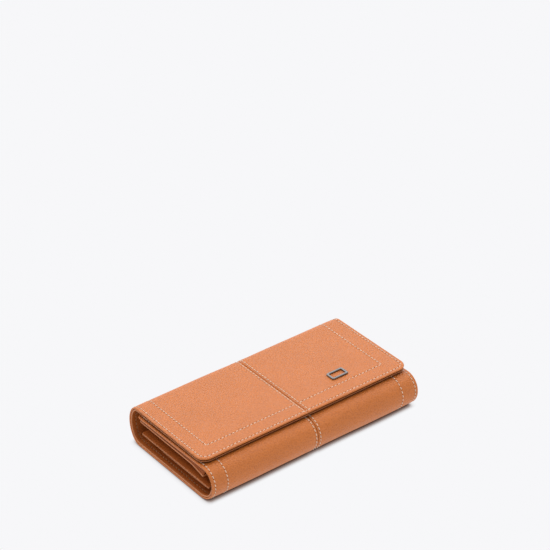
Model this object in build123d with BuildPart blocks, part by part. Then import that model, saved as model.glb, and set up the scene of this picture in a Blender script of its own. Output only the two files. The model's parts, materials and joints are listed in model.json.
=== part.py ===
"""Long trifold clutch wallet with a wrap-over flap, a snap and a zipped coin pocket.

The outer leather is one spiral strip: flap, rear spine, base, front spine and front panel.
The strip is cut across at its fold lines, so each stretch can turn on its neighbour.
Every fold axis lies on the outer skin, so the inner faces part as the wallet opens.
Millimetres: X along the length, Y towards the rear spine, Z up, origin under the middle.
"""
from build123d import *
import os
from math import cos, radians, sin, tan

# Overall size
length = 190.0
flap_front = -40.2
height = 33.0
rear_bend_start = 40.2
half = length / 2

# Folds of the spiral strip
corner_radius = 10.0
spine_radius = 23.0
corner_turn = 60.0
spine_turn = 60.0
front_low_radius = 15.5
front_low_turn = 100.0
front_top_radius = 12.0
panel_tilt = 1.0
base_run = 76.6
front_low_cut = 30.0
front_top_cut = 35.0
panel_tip = 41.0

# Thicknesses
leather = 1.4
board = 0.5
spine_lining = 1.3
base_lining_thick = 0.9
panel_lining_thick = 0.8
card_panel_thick = 2.1
tape = 0.2
slot_sheet = 0.45
pocket_wall = 1.2
page_leather = 0.45
page_core = 0.3
slip_sheet = 0.6

# Insets from the ends and free edges
seam_gap = 0.3
seam_tape_half = 6.0
board_inset = 4.0
panel_inset = 0.5
pocket_inset = 0.8
page_inset = 0.6
hinge_tape_inset = 3.0
slip_inset = 7.0
outer_round = 8.0
panel_round = 3.0
board_round = 1.0
page_round = 1.5

# Card slots under the flap
slot_width = 89.0
slot_centre = 46.5
slot_recess = 1.4
slot_recess_front = -19.0
slot_recess_rear = 31.0
slot_step = 12.0
slot_count = 3
card_panel_rear = 33.8

# Snap: stud on the flap, socket in the front panel
snap_y = -28.0
snap_radius = 7.0
stud_radius = 2.2
stud_drop = 1.7
socket_hole = 2.9
socket_depth = 1.5
socket_thick = 1.75
washer_radius = 8.5
washer_thick = 0.4
trim_gap = 0.1

# Emblem: a plain open oblong frame
emblem_x = 46.0
emblem_y = -16.2
emblem_length = 15.0
emblem_width = 9.0
emblem_bar = 1.8
emblem_height = 1.5
prong_radius = 0.6
prong_length = 1.75
prong_space = 13.2
clinch_length = 17.0
clinch_width = 4.0
clinch_thick = 0.35

# Coin pocket and zip, hung inside the front panel
pocket_front = -39.4
pocket_front_top = 19.7
pocket_slope = 13.0
pocket_slope_run = 12.0
pocket_bend = 16.0
pocket_rise = 0.4
pocket_rear = 40.0
gusset_rear = 34.0
gusset_gap = 0.2
gusset_outer = 93.2
gusset_thick = 0.7
zip_half = 88.0
zip_tape_thick = 0.5
zip_low = 18.5
zip_top = 25.25
zip_centre = 21.9
zip_tape_gap = 0.7
tooth_pitch = 2.2
tooth_wide = 1.0
tooth_deep = 2.3
tooth_reach = 0.4
tooth_root = 1.2
stop_long = 2.6

# Slider and pull
slider_x = 78.0
slider_long = 8.0
slider_high = 5.6
slider_plate = 1.4
slider_flange = 0.7
slider_clear = 0.35
bridge_long = 5.4
bridge_high = 1.8
bridge_wide = 1.5
bridge_wall = 0.6
pull_long = 15.0
pull_high = 3.0
pull_thick = 0.7
pull_bar = 0.9
pull_hole = 1.8

# Divider page
page_front = -46.0
page_rear = 36.8
page_low = 12.4
page_tape_gap = 0.3
page_tape_thick = 0.6

os.makedirs("parts", exist_ok=True)


def forward(heading):
    """Unit vector along a heading in the section, in degrees from +Y."""
    return Vector(cos(radians(heading)), sin(radians(heading)))


def inward(heading):
    """Unit vector to the right of a heading, which is the inside of the spiral."""
    return Vector(sin(radians(heading)), -cos(radians(heading)))


def advance(station, path):
    """Follow straight runs (size, 0) and clockwise bends (radius, turn) from a station."""
    point, heading = station
    for size, turn in path:
        if turn:
            centre = point + inward(heading) * size
            heading -= turn
            point = centre - inward(heading) * size
        else:
            point = point + forward(heading) * size
    return point, heading


def draw_side(station, path, depth):
    """Draw one side of a band, at a depth inside the path."""
    for size, turn in path:
        point, heading = station
        start = point + inward(heading) * depth
        station = advance(station, [(size, turn)])
        if turn:
            JernArc(start, forward(heading), size - depth, -turn)
        else:
            Line(start, station[0] + inward(station[1]) * depth)


def draw_cap(station, outer, inner):
    """Close a band across its end."""
    point, heading = station
    Line(point + inward(heading) * outer, point + inward(heading) * inner)


def band(station, path, outer, inner, x_low, x_high):
    """Extrude the strip between two depths of a path, from x_low to x_high."""
    with BuildSketch(Plane.YZ.offset(x_low)) as section:
        with BuildLine():
            draw_side(station, path, outer)
            draw_side(station, path, inner)
            draw_cap(station, outer, inner)
            draw_cap(advance(station, path), outer, inner)
        make_face()
    extrude(section.sketch, amount=x_high - x_low)


def end_edges(part, rear):
    """The upright edges at a part's front or rear end, left to right."""
    edges = part.edges().filter_by(Axis.X, reverse=True)
    return edges.group_by(Axis.Y)[-1 if rear else 0].sort_by(Axis.X)


def slab(x_low, x_high, y_low, y_high, z_low, z_high, mode=Mode.ADD):
    """A plain block between its lowest and highest corners."""
    middle = ((x_low + x_high) / 2, (y_low + y_high) / 2, (z_low + z_high) / 2)
    with Locations(middle):
        Box(x_high - x_low, y_high - y_low, z_high - z_low, mode=mode)


def save(builder, name):
    """Label a finished piece and write it."""
    builder.part.label = name
    export_step(builder.part, f"parts/{name}.step")


def halves(reach, gap):
    """The two sides of the centre seam: name, low x, high x and outer corner index."""
    return (("left", -reach, -gap, 0), ("right", gap, reach, -1))


# Stretches of the spiral between the fold lines, with the station where each starts
flap_path = [(rear_bend_start - flap_front, 0), (corner_radius, corner_turn / 2)]
spine_upper_path = [(corner_radius, corner_turn / 2), (spine_radius, spine_turn / 2)]
spine_lower_path = [(spine_radius, spine_turn / 2), (corner_radius, corner_turn / 2)]
base_path = [(corner_radius, corner_turn / 2), (base_run, 0), (front_low_radius, front_low_cut)]
front_spine_path = [
    (front_low_radius, front_low_turn - front_low_cut),
    (front_top_radius, front_top_cut),
]
panel_bend = [(front_top_radius, 180 + panel_tilt - front_low_turn - front_top_cut)]

flap_start = (Vector(flap_front, height), 0.0)
spine_upper_start = advance(flap_start, flap_path)
spine_lower_start = advance(spine_upper_start, spine_upper_path)
base_start = advance(spine_lower_start, spine_lower_path)
front_spine_start = advance(base_start, base_path)
panel_start = advance(front_spine_start, front_spine_path)
panel_flat = advance(panel_start, panel_bend)
panel_run = (panel_tip - panel_flat[0].X) / cos(radians(panel_tilt))
panel_path = panel_bend + [(panel_run, 0)]


def panel_z(y, depth):
    """Height of the front panel's flat at a place, at a depth inside its outer face."""
    return panel_flat[0].Y - (y - panel_flat[0].X) * tan(radians(panel_tilt)) - depth


# ---------------------------------------------------------------- flap
for side, x_low, x_high, corner in halves(half, seam_gap / 2):
    with BuildPart() as flap_leather:
        band(flap_start, flap_path, 0, leather, x_low, x_high)
        fillet(end_edges(flap_leather, rear=False)[corner], radius=outer_round)
        if side == "right":
            for offset_x in (-prong_space / 2, prong_space / 2):
                with Locations((emblem_x + offset_x, emblem_y, height)):
                    Cylinder(prong_radius, 4 * leather, mode=Mode.SUBTRACT)
    save(flap_leather, f"flap_leather_{side}")

with BuildPart() as flap_seam_tape:
    start = (Vector(snap_y + washer_radius + 2 * trim_gap, height), 0.0)
    run = [(card_panel_rear - start[0].X, 0)]
    band(start, run, leather, leather + tape, -seam_tape_half, seam_tape_half)
save(flap_seam_tape, "flap_seam_tape")

flap_board_start = (Vector(flap_front + board_inset, height), 0.0)
flap_board_path = [(card_panel_rear - board_inset - flap_front, 0)]
for side, x_low, x_high, corner in halves(half - board_inset, seam_tape_half + trim_gap):
    with BuildPart() as flap_board:
        band(flap_board_start, flap_board_path, leather, leather + board, x_low, x_high)
        fillet(end_edges(flap_board, rear=False)[corner], radius=outer_round - board_inset)
        if side == "right":
            reach_x = clinch_length / 2 + trim_gap
            reach_y = clinch_width / 2 + trim_gap
            slab(emblem_x - reach_x, emblem_x + reach_x, emblem_y - reach_y, emblem_y + reach_y,
                 height - 2 * leather, height, mode=Mode.SUBTRACT)
        with Locations((0, snap_y, height - leather)):
            Cylinder(washer_radius + trim_gap, 4 * board, mode=Mode.SUBTRACT)
    save(flap_board, f"flap_board_{side}")

card_top = height - leather - board
card_low = card_top - card_panel_thick
with BuildPart() as flap_card_panel:
    card_path = [(card_panel_rear - flap_front, 0)]
    band(flap_start, card_path, leather + board, leather + board + card_panel_thick, -half, half)
    fillet(end_edges(flap_card_panel, rear=False), radius=outer_round)
    for centre in (-slot_centre, slot_centre):
        slab(centre - slot_width / 2, centre + slot_width / 2, slot_recess_front,
             slot_recess_rear, card_low - 1, card_low + slot_recess, mode=Mode.SUBTRACT)
    with Locations((0, snap_y, card_low)):
        Cylinder(snap_radius, 6 * board, mode=Mode.SUBTRACT)
save(flap_card_panel, "flap_card_panel")

for side, centre in (("left", -slot_centre), ("right", slot_centre)):
    for number in range(slot_count):
        top = card_low + slot_recess - number * slot_sheet
        front = slot_recess_front + 1 + number * slot_step
        with BuildPart() as card_slot:
            slab(centre - slot_width / 2 + trim_gap, centre + slot_width / 2 - trim_gap, front,
                 slot_recess_rear - trim_gap, top - slot_sheet, top)
        save(card_slot, f"flap_card_slot_{side}_{number + 1}")

with BuildPart() as flap_hinge_lining:
    start = (Vector(card_panel_rear + trim_gap, height), 0.0)
    run = [(rear_bend_start - card_panel_rear - trim_gap, 0), flap_path[1]]
    band(start, run, leather, leather + spine_lining, -half, half)
save(flap_hinge_lining, "flap_hinge_lining")

with BuildPart() as snap_stud:
    with BuildSketch(Plane.XY.offset(card_low)):
        with Locations((0, snap_y)):
            Circle(snap_radius - trim_gap)
    extrude(amount=3 * board)
    with BuildSketch(Plane.XY.offset(card_low - stud_drop)):
        with Locations((0, snap_y)):
            Circle(stud_radius)
    extrude(amount=stud_drop)
    fillet(snap_stud.edges().filter_by(GeomType.CIRCLE).group_by(Axis.Z)[0], radius=0.4)
save(snap_stud, "snap_stud")

with BuildPart() as snap_stud_washer:
    with BuildSketch(Plane.XY.offset(card_top + trim_gap / 2)):
        with Locations((0, snap_y)):
            Circle(washer_radius - trim_gap)
            Circle(stud_radius, mode=Mode.SUBTRACT)
    extrude(amount=washer_thick)
save(snap_stud_washer, "snap_stud_washer")

with BuildPart() as emblem:
    with BuildSketch(Plane.XY.offset(height)):
        with Locations((emblem_x, emblem_y)):
            RectangleRounded(emblem_length, emblem_width, 1.6)
            RectangleRounded(emblem_length - 2 * emblem_bar, emblem_width - 2 * emblem_bar, 0.5,
                             mode=Mode.SUBTRACT)
    extrude(amount=emblem_height)
    fillet(emblem.edges().group_by(Axis.Z)[-1], radius=0.55)
    with BuildSketch(Plane.XY.offset(height)):
        with Locations((emblem_x - prong_space / 2, emblem_y),
                       (emblem_x + prong_space / 2, emblem_y)):
            Circle(prong_radius)
    extrude(amount=-prong_length)
save(emblem, "emblem")

with BuildPart() as emblem_clinch_plate:
    with BuildSketch(Plane.XY.offset(height - leather - clinch_thick)):
        with Locations((emblem_x, emblem_y)):
            SlotOverall(clinch_length, clinch_width)
        with Locations((emblem_x - prong_space / 2, emblem_y),
                       (emblem_x + prong_space / 2, emblem_y)):
            Circle(prong_radius, mode=Mode.SUBTRACT)
    extrude(amount=clinch_thick)
save(emblem_clinch_plate, "emblem_clinch_plate")

# ---------------------------------------------------------------- rear spine, in two turning parts
for name, start, path in (
    ("spine_upper", spine_upper_start, spine_upper_path),
    ("spine_lower", spine_lower_start, spine_lower_path),
):
    for side, x_low, x_high, corner in halves(half, seam_gap / 2):
        with BuildPart() as spine_leather:
            band(start, path, 0, leather, x_low, x_high)
        save(spine_leather, f"{name}_leather_{side}")
    with BuildPart() as spine_inside:
        band(start, path, leather, leather + spine_lining, -half, half)
    save(spine_inside, f"{name}_lining")

# ---------------------------------------------------------------- base
for side, x_low, x_high, corner in halves(half, seam_gap / 2):
    with BuildPart() as base_leather:
        band(base_start, base_path, 0, leather, x_low, x_high)
    save(base_leather, f"base_leather_{side}")

base_flat = advance(base_start, base_path[:1])
with BuildPart() as base_seam_tape:
    band(base_flat, base_path[1:2], leather, leather + tape, -seam_tape_half, seam_tape_half)
save(base_seam_tape, "base_seam_tape")

base_board_start = advance(base_flat, [(board_inset, 0)])
base_board_path = [(base_run - 2 * board_inset, 0)]
for side, x_low, x_high, corner in halves(half - board_inset, seam_tape_half + trim_gap):
    with BuildPart() as base_board:
        band(base_board_start, base_board_path, leather, leather + board, x_low, x_high)
    save(base_board, f"base_board_{side}")

base_inner = leather + board + base_lining_thick
with BuildPart() as base_lining:
    band(base_start, base_path, leather + board, base_inner, -half, half)
save(base_lining, "base_lining")

with BuildPart() as base_slip_pocket:
    start = advance(base_flat, [(5 * board_inset, 0)])
    run = [(base_run - 6 * board_inset, 0)]
    band(start, run, base_inner, base_inner + slip_sheet, -half + slip_inset, half - slip_inset)
save(base_slip_pocket, "base_slip_pocket")

# ---------------------------------------------------------------- front spine
for side, x_low, x_high, corner in halves(half, seam_gap / 2):
    with BuildPart() as front_spine_leather:
        band(front_spine_start, front_spine_path, 0, leather, x_low, x_high)
    save(front_spine_leather, f"front_spine_leather_{side}")

with BuildPart() as front_spine_lining:
    band(front_spine_start, front_spine_path, leather, leather + spine_lining, -half, half)
save(front_spine_lining, "front_spine_lining")

page_middle = page_low + page_leather + page_core / 2
lining_depth = leather + spine_lining
front_low_centre = front_spine_start[0] + inward(front_spine_start[1]) * front_low_radius
lining_front = front_low_centre.X - (front_low_radius - lining_depth)
with BuildPart() as divider_hinge_tape:
    slab(-half + hinge_tape_inset, half - hinge_tape_inset,
         lining_front + page_tape_gap + trim_gap,
         page_front - page_tape_gap, page_middle - page_tape_thick / 2,
         page_middle + page_tape_thick / 2)
save(divider_hinge_tape, "divider_hinge_tape")

# ---------------------------------------------------------------- front panel
panel_half = half - panel_inset
socket_top = panel_z(snap_y, 0)
for side, x_low, x_high, corner in halves(panel_half, seam_gap / 2):
    with BuildPart() as panel_leather:
        band(panel_start, panel_path, 0, leather, x_low, x_high)
        fillet(end_edges(panel_leather, rear=True)[corner], radius=panel_round)
        with Locations((0, snap_y, socket_top)):
            Cylinder(snap_radius, 6 * leather, mode=Mode.SUBTRACT)
    save(panel_leather, f"front_panel_leather_{side}")

with BuildPart() as panel_seam_tape:
    start = advance(panel_flat, [(snap_y + snap_radius + 3 - panel_flat[0].X, 0)])
    run = [(panel_tip - board_inset - start[0].X, 0)]
    band(start, run, leather, leather + tape, -seam_tape_half, seam_tape_half)
save(panel_seam_tape, "front_panel_seam_tape")

for side, x_low, x_high, corner in halves(panel_half - board_inset, washer_radius + trim_gap):
    with BuildPart() as panel_board:
        start = advance(panel_flat, [(board_inset, 0)])
        run = [(panel_run - 2 * board_inset, 0)]
        band(start, run, leather, leather + board, x_low, x_high)
        fillet(end_edges(panel_board, rear=True)[corner], radius=board_round)
    save(panel_board, f"front_panel_board_{side}")

with BuildPart() as panel_lining:
    inner = leather + board + panel_lining_thick
    band(panel_start, panel_path, leather + board, inner, -panel_half, panel_half)
    fillet(end_edges(panel_lining, rear=True), radius=panel_round)
save(panel_lining, "front_panel_lining")

with BuildPart() as snap_socket:
    with BuildSketch(Plane.XY.offset(socket_top - socket_thick + trim_gap)):
        with Locations((0, snap_y)):
            Circle(snap_radius - 2 * trim_gap)
    extrude(amount=socket_thick - 3 * trim_gap)
    with Locations((0, snap_y, socket_top)):
        Cylinder(socket_hole, 2 * socket_depth, mode=Mode.SUBTRACT)
save(snap_socket, "snap_socket")

# ---------------------------------------------------------------- coin pocket
pocket_start = (Vector(pocket_front, pocket_front_top), pocket_slope)
pocket_lead = [(pocket_slope_run, 0), (pocket_bend, pocket_slope - pocket_rise)]
pocket_level = advance(pocket_start, pocket_lead)
pocket_path = pocket_lead + [(pocket_rear - pocket_level[0].X, 0)]
pocket_half = half - pocket_inset
with BuildPart() as coin_pocket_wall:
    band(pocket_start, pocket_path, 0, pocket_wall, -pocket_half, pocket_half)
    fillet(end_edges(coin_pocket_wall, rear=True), radius=panel_round)
save(coin_pocket_wall, "coin_pocket_wall")

with BuildPart() as coin_pocket_bag:
    start = (pocket_level[0] + Vector(2, slot_sheet + trim_gap), pocket_rise)
    run = [(pocket_rear - start[0].X - board_inset, 0)]
    band(start, run, 0, slot_sheet, -zip_half, zip_half)
save(coin_pocket_bag, "coin_pocket_bag")

with BuildPart() as coin_pocket_slip:
    start = advance(pocket_level, [(board_inset, 0)])
    run = [(pocket_rear - start[0].X - 2 * board_inset, 0)]
    band(start, run, pocket_wall, pocket_wall + slip_sheet, -slot_width, slot_width)
save(coin_pocket_slip, "coin_pocket_slip")

# A folded gusset closes each end of the pocket, between its wall and the panel's lining
pocket_crest = advance(pocket_start, pocket_lead[:1])[0]
gusset_front = pocket_front + 3 * gusset_gap
lining_face = leather + board + panel_lining_thick + gusset_gap
gusset_outline = [
    (gusset_front, pocket_front_top + 3 * gusset_gap),
    (pocket_crest.X, pocket_crest.Y + gusset_gap),
    (pocket_level[0].X, pocket_level[0].Y + gusset_gap),
    (gusset_rear, pocket_level[0].Y + (gusset_rear - pocket_level[0].X) * tan(radians(pocket_rise))
     + gusset_gap),
    (gusset_rear, panel_z(gusset_rear, lining_face)),
    (gusset_front, panel_z(gusset_front, lining_face)),
]
for side, x_low in (("left", -gusset_outer), ("right", gusset_outer - gusset_thick)):
    with BuildPart() as coin_pocket_gusset:
        with BuildSketch(Plane.YZ.offset(x_low)):
            Polygon(*gusset_outline, align=None)
        extrude(amount=gusset_thick)
    save(coin_pocket_gusset, f"coin_pocket_gusset_{side}")

tape_rear = pocket_front
tape_front = pocket_front - zip_tape_thick
for name, z_low, z_high in (
    ("zip_tape_lower", zip_low, zip_centre - zip_tape_gap),
    ("zip_tape_upper", zip_centre + zip_tape_gap, zip_top),
):
    with BuildPart() as zip_tape:
        slab(-zip_half, zip_half, tape_front, tape_rear, z_low, z_high)
    save(zip_tape, name)

# Each tooth clamps the edge of its tape and reaches just past the middle of the chain
tooth_front = tape_front - (tooth_deep - zip_tape_thick) / 2
tooth_row = 2 * int((zip_half - 2 * stop_long) / tooth_pitch)
for name, way, shift in (("zip_teeth_lower", -1, 0), ("zip_teeth_upper", 1, tooth_pitch / 2)):
    with BuildPart() as zip_teeth:
        root = zip_centre + way * (tooth_root + zip_tape_gap)
        tip = zip_centre - way * tooth_reach
        edge = zip_centre + way * zip_tape_gap
        tooth_middle = tooth_front + tooth_deep / 2
        face_deep = tape_front - tooth_front
        with Locations((shift, tooth_middle, (tip + edge) / 2)):
            with GridLocations(tooth_pitch, 0, tooth_row, 1):
                Box(tooth_wide, tooth_deep, abs(edge - tip))
        with Locations((shift, tooth_front + face_deep / 2, (tip + root) / 2)):
            with GridLocations(tooth_pitch, 0, tooth_row, 1):
                Box(tooth_wide, face_deep, abs(root - tip))
    save(zip_teeth, name)

with BuildPart() as zip_stops:
    for end in (-1, 1):
        middle = end * (zip_half - stop_long / 2)
        slab(middle - stop_long / 2, middle + stop_long / 2, tooth_front, tape_front,
             zip_centre - tooth_root - zip_tape_gap, zip_centre + tooth_root + zip_tape_gap)
save(zip_stops, "zip_end_stops")

# ---------------------------------------------------------------- zip slider and pull
plate_rear = tooth_front - slider_clear
plate_front = plate_rear - slider_plate
slider_low = zip_centre - slider_high / 2
slider_top = zip_centre + slider_high / 2
bridge_front = plate_front - bridge_high
with BuildPart() as zip_slider:
    slab(slider_x - slider_long / 2, slider_x + slider_long / 2, plate_front, plate_rear,
         slider_low, slider_top)
    fillet(zip_slider.edges().filter_by(Axis.Y), radius=1.6)
    fillet(zip_slider.edges().group_by(Axis.Y)[0], radius=0.45)
    for z_low, z_high in ((slider_low, slider_low + slider_flange),
                          (slider_top - slider_flange, slider_top)):
        slab(slider_x - slider_long / 2 + 1.6, slider_x + slider_long / 2 - 1.6, plate_rear,
             tape_front - slider_clear, z_low, z_high)
    slab(slider_x - bridge_long / 2, slider_x + bridge_long / 2, bridge_front, plate_front,
         zip_centre - bridge_wide / 2, zip_centre + bridge_wide / 2)
    fillet(zip_slider.edges().filter_by(Axis.Z).group_by(Axis.Y)[0], radius=0.9)
    slab(slider_x - bridge_long / 2 + bridge_wall, slider_x + bridge_long / 2 - bridge_wall,
         bridge_front + bridge_wall, plate_front, zip_centre - bridge_wide,
         zip_centre + bridge_wide, mode=Mode.SUBTRACT)
save(zip_slider, "zip_slider")

# The pull's cross bar passes under the bridge, and the pull lies flat along the zip
pull_rear = plate_front - 0.2
pull_start = slider_x + pull_bar / 2
with BuildPart() as zip_pull:
    with BuildSketch(Plane.XZ.offset(-pull_rear)):
        with Locations((pull_start - pull_long / 2, zip_centre)):
            RectangleRounded(pull_long, pull_high, 1.2)
        hole_long = bridge_long / 2 + 1.4
        with Locations((pull_start - pull_bar - hole_long / 2, zip_centre)):
            Rectangle(hole_long, pull_hole, mode=Mode.SUBTRACT)
        with Locations((pull_start - pull_long + 2.2, zip_centre)):
            Circle(0.8, mode=Mode.SUBTRACT)
    extrude(amount=pull_thick)
save(zip_pull, "zip_pull")

# ---------------------------------------------------------------- divider page
page_half = half - page_inset
page_z = page_low
for name, thick in (
    ("divider_leather_lower", page_leather),
    ("divider_core", page_core),
    ("divider_leather_upper", page_leather),
):
    inset = board_inset if name == "divider_core" else 0
    with BuildPart() as page_sheet:
        slab(-page_half + inset, page_half - inset, page_front + inset, page_rear - inset,
             page_z, page_z + thick)
        fillet(end_edges(page_sheet, rear=True), radius=page_round)
    save(page_sheet, name)
    page_z += thick

for name, station in (
    ("rear_fold_lower", base_start), ("rear_fold_middle", spine_lower_start),
    ("rear_fold_upper", spine_upper_start), ("front_fold_lower", front_spine_start),
    ("front_fold_upper", panel_start),
):
    print(f"{name}: y {station[0].X:.3f} z {station[0].Y:.3f}")
print(f"divider hinge: y {page_front - page_tape_gap:.3f} z {page_middle:.3f}")
print(f"pull hinge: x {slider_x:.3f} y {pull_rear - pull_thick / 2:.3f}")
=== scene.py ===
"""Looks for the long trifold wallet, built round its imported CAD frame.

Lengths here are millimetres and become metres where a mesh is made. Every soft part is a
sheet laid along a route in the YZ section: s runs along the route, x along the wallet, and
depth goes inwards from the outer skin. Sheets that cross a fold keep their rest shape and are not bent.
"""
import json
import math

import bpy
import numpy as np
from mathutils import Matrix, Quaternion, Vector


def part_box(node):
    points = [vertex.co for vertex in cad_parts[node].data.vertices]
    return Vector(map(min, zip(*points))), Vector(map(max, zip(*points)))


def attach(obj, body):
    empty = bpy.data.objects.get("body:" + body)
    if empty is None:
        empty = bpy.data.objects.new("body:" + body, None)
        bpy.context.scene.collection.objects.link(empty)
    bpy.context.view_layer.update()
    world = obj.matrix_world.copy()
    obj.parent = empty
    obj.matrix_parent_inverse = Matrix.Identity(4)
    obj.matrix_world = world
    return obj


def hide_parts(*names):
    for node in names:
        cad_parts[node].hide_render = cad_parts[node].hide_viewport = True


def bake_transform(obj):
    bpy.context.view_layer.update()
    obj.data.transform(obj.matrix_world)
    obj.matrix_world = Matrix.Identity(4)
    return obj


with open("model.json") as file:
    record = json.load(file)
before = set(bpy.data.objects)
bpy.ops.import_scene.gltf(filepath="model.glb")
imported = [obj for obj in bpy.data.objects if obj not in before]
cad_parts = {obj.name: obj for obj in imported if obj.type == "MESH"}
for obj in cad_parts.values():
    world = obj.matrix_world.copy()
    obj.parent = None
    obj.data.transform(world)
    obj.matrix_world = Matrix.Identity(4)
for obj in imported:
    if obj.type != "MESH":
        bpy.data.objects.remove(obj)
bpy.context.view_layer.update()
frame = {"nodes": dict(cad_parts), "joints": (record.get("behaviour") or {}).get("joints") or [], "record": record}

MM = 0.001
UV_PER_MM = 0.01


def span(node):
    """Lowest and highest corner of a CAD node, in millimetres."""
    return [np.array(corner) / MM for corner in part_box(node)]


# ---------------------------------------------------------------- sizes from the frame
HALF = -span("flap_leather_left")[0][0]
FLAP_FRONT = span("flap_leather_left")[0][1]
FLAP_TOP = span("flap_leather_left")[1][2]
PANEL_HALF = -span("front_panel_leather_left")[0][0]
PANEL_TIP = span("front_panel_leather_left")[1][1]
CARD_REAR = span("flap_card_panel")[1][1]
CARD_LOW = span("flap_card_panel")[0][2]
JOINTS = {joint["name"]: joint for joint in frame["joints"]}

# The spiral strip: straight runs (length, 0) and clockwise bends (radius, turn in degrees)
LEATHER = 1.4
LINING = 1.3
CORNER_RADIUS = 10.0
SPINE_RADIUS = 23.0
SPINE_TURN = 60.0
PANEL_TILT = 1.0
FRONT_LOW = (15.5, 100.0)
FRONT_TOP = (12.0, 80.0 + PANEL_TILT)
REAR_BEND = 40.2
BASE_RUN = 76.6
ROUND = 8.0
PANEL_ROUND = 3.0
PAGE_ROUND = 1.5
SEAM_HALF_GAP = 0.12
LEATHER_EDGE = 0.66
LINING_EDGE = 0.55
# Nothing goes lower than this, and the floor lies just under it
TABLE = -0.12
FLOOR_DROP = 0.2

# Sewing
PITCH = 3.2
STITCH = 2.45
THREAD = 0.29
HOLE = (0.48, 0.36)
EDGE_ROW = 2.7
FRAME_LEFT = -81.5
FRAME_RIGHT = 80.0
FRAME_FRONT = 13.5
SEAM_ROW = 1.9
ROW_TAIL = 30.0
SEAM_END = 1.2
THREAD_SIDES = 8
HOLE_SIDES = 10
LINING_ROW = 4.2


def forward(heading):
    """Unit vector in YZ along a heading in degrees from +Y."""
    angle = np.radians(heading)
    return np.stack([np.cos(angle), np.sin(angle)], -1)


def inward(heading):
    """Unit vector in YZ to the right of a heading."""
    angle = np.radians(heading)
    return np.stack([np.sin(angle), -np.cos(angle)], -1)


class Route:
    """A path in the YZ section made of straight runs and clockwise bends."""

    def __init__(self, start, heading, moves):
        self.legs = []
        point, along = np.array(start, float), 0.0
        for size, turn in moves:
            self.legs.append((along, point, heading, size, turn))
            if turn:
                centre = point + size * inward(heading)
                heading -= turn
                point = centre - size * inward(heading)
                along += size * math.radians(turn)
            else:
                point = point + size * forward(heading)
                along += size
        self.length = along

    def at(self, s):
        """Points on the route and the inward directions there."""
        s = np.asarray(s, float)
        point = np.zeros(s.shape + (2,))
        normal = np.zeros(s.shape + (2,))
        for number, (begin, start, heading, size, turn) in enumerate(self.legs):
            here = s >= begin if number else np.ones(s.shape, bool)
            travel = s[here] - begin
            if turn:
                centre = start + size * inward(heading)
                normal[here] = inward(heading - np.degrees(travel / size))
                point[here] = centre - size * normal[here]
            else:
                normal[here] = inward(heading)
                point[here] = start + travel[:, None] * forward(heading)
        return point, normal

    def nearest(self, place):
        """The distance along the route to its nearest point to a place in metres."""
        s = np.linspace(0, self.length, 20001)
        gap = np.linalg.norm(self.at(s)[0] - np.array(place[1:]) / MM, axis=1)
        return float(s[gap.argmin()])


def place(route, s, x, depth):
    """Points in metres at s along a route, x along the wallet and a depth inside it."""
    point, normal = route.at(s)
    yz = point + normal * np.asarray(depth, float)[..., None]
    height = np.maximum(yz[..., 1], TABLE)
    return np.stack([np.asarray(x, float), yz[..., 0], height], -1) * MM


strip_moves = [
    (REAR_BEND - FLAP_FRONT, 0),
    (CORNER_RADIUS, SPINE_TURN),
    (SPINE_RADIUS, SPINE_TURN),
    (CORNER_RADIUS, SPINE_TURN),
    (BASE_RUN, 0),
    FRONT_LOW,
    FRONT_TOP,
]
panel_flat = Route((FLAP_FRONT, FLAP_TOP), 0.0, strip_moves)
flat_y = panel_flat.at(panel_flat.length)[0][0]
strip_moves.append(((PANEL_TIP - flat_y) / math.cos(math.radians(PANEL_TILT)), 0))
STRIP = Route((FLAP_FRONT, FLAP_TOP), 0.0, strip_moves)

FOLD_S = {name: STRIP.nearest(JOINTS[name]["pos_m"]) for name in (
    "rear_fold_upper", "rear_fold_middle", "rear_fold_lower",
    "front_fold_lower", "front_fold_upper")}
UPPER, MIDDLE, LOWER = (FOLD_S[n] for n in (
    "rear_fold_upper", "rear_fold_middle", "rear_fold_lower"))
FRONT_1, FRONT_2 = FOLD_S["front_fold_lower"], FOLD_S["front_fold_upper"]
BASE_MIDDLE = (LOWER + FRONT_1) / 2
socket_low, socket_high = span("snap_socket")
SOCKET_AT = STRIP.nearest((0, (socket_low[1] + socket_high[1]) / 2 * MM, socket_high[2] * MM))
SOCKET_WELL = 8.2
WELL_DEPTH = 0.4
WELL_SLOPE = 1.5
FOLD_REACH = 8.2

# Each stretch crosses one fold, and stops where its neighbours are rigid
STRETCHES = {
    "flap": (0.0, (UPPER + MIDDLE) / 2, "spine_upper", "flap", UPPER, -1),
    "rear": ((UPPER + MIDDLE) / 2, (MIDDLE + LOWER) / 2, "spine_upper", "spine_lower", MIDDLE, 1),
    "base": ((MIDDLE + LOWER) / 2, BASE_MIDDLE, "spine_lower", "base", LOWER, 1),
    "front": (BASE_MIDDLE, (FRONT_1 + FRONT_2) / 2, "base", "front_spine", FRONT_1, 1),
    "panel": ((FRONT_1 + FRONT_2) / 2, STRIP.length, "front_spine", "front_panel", FRONT_2, 1),
}


def bend(piece, stretch):
    """Bake a piece's transform; the ends of its stretch's fold are worked out, but the piece is not bent."""
    _, _, first, second, fold, way = STRETCHES[stretch]
    ends = [
        place(STRIP, np.array([fold + way * side * FOLD_REACH]), np.zeros(1), np.zeros(1))[0]
        for side in (-1, 1)
    ]
    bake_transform(piece)


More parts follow.
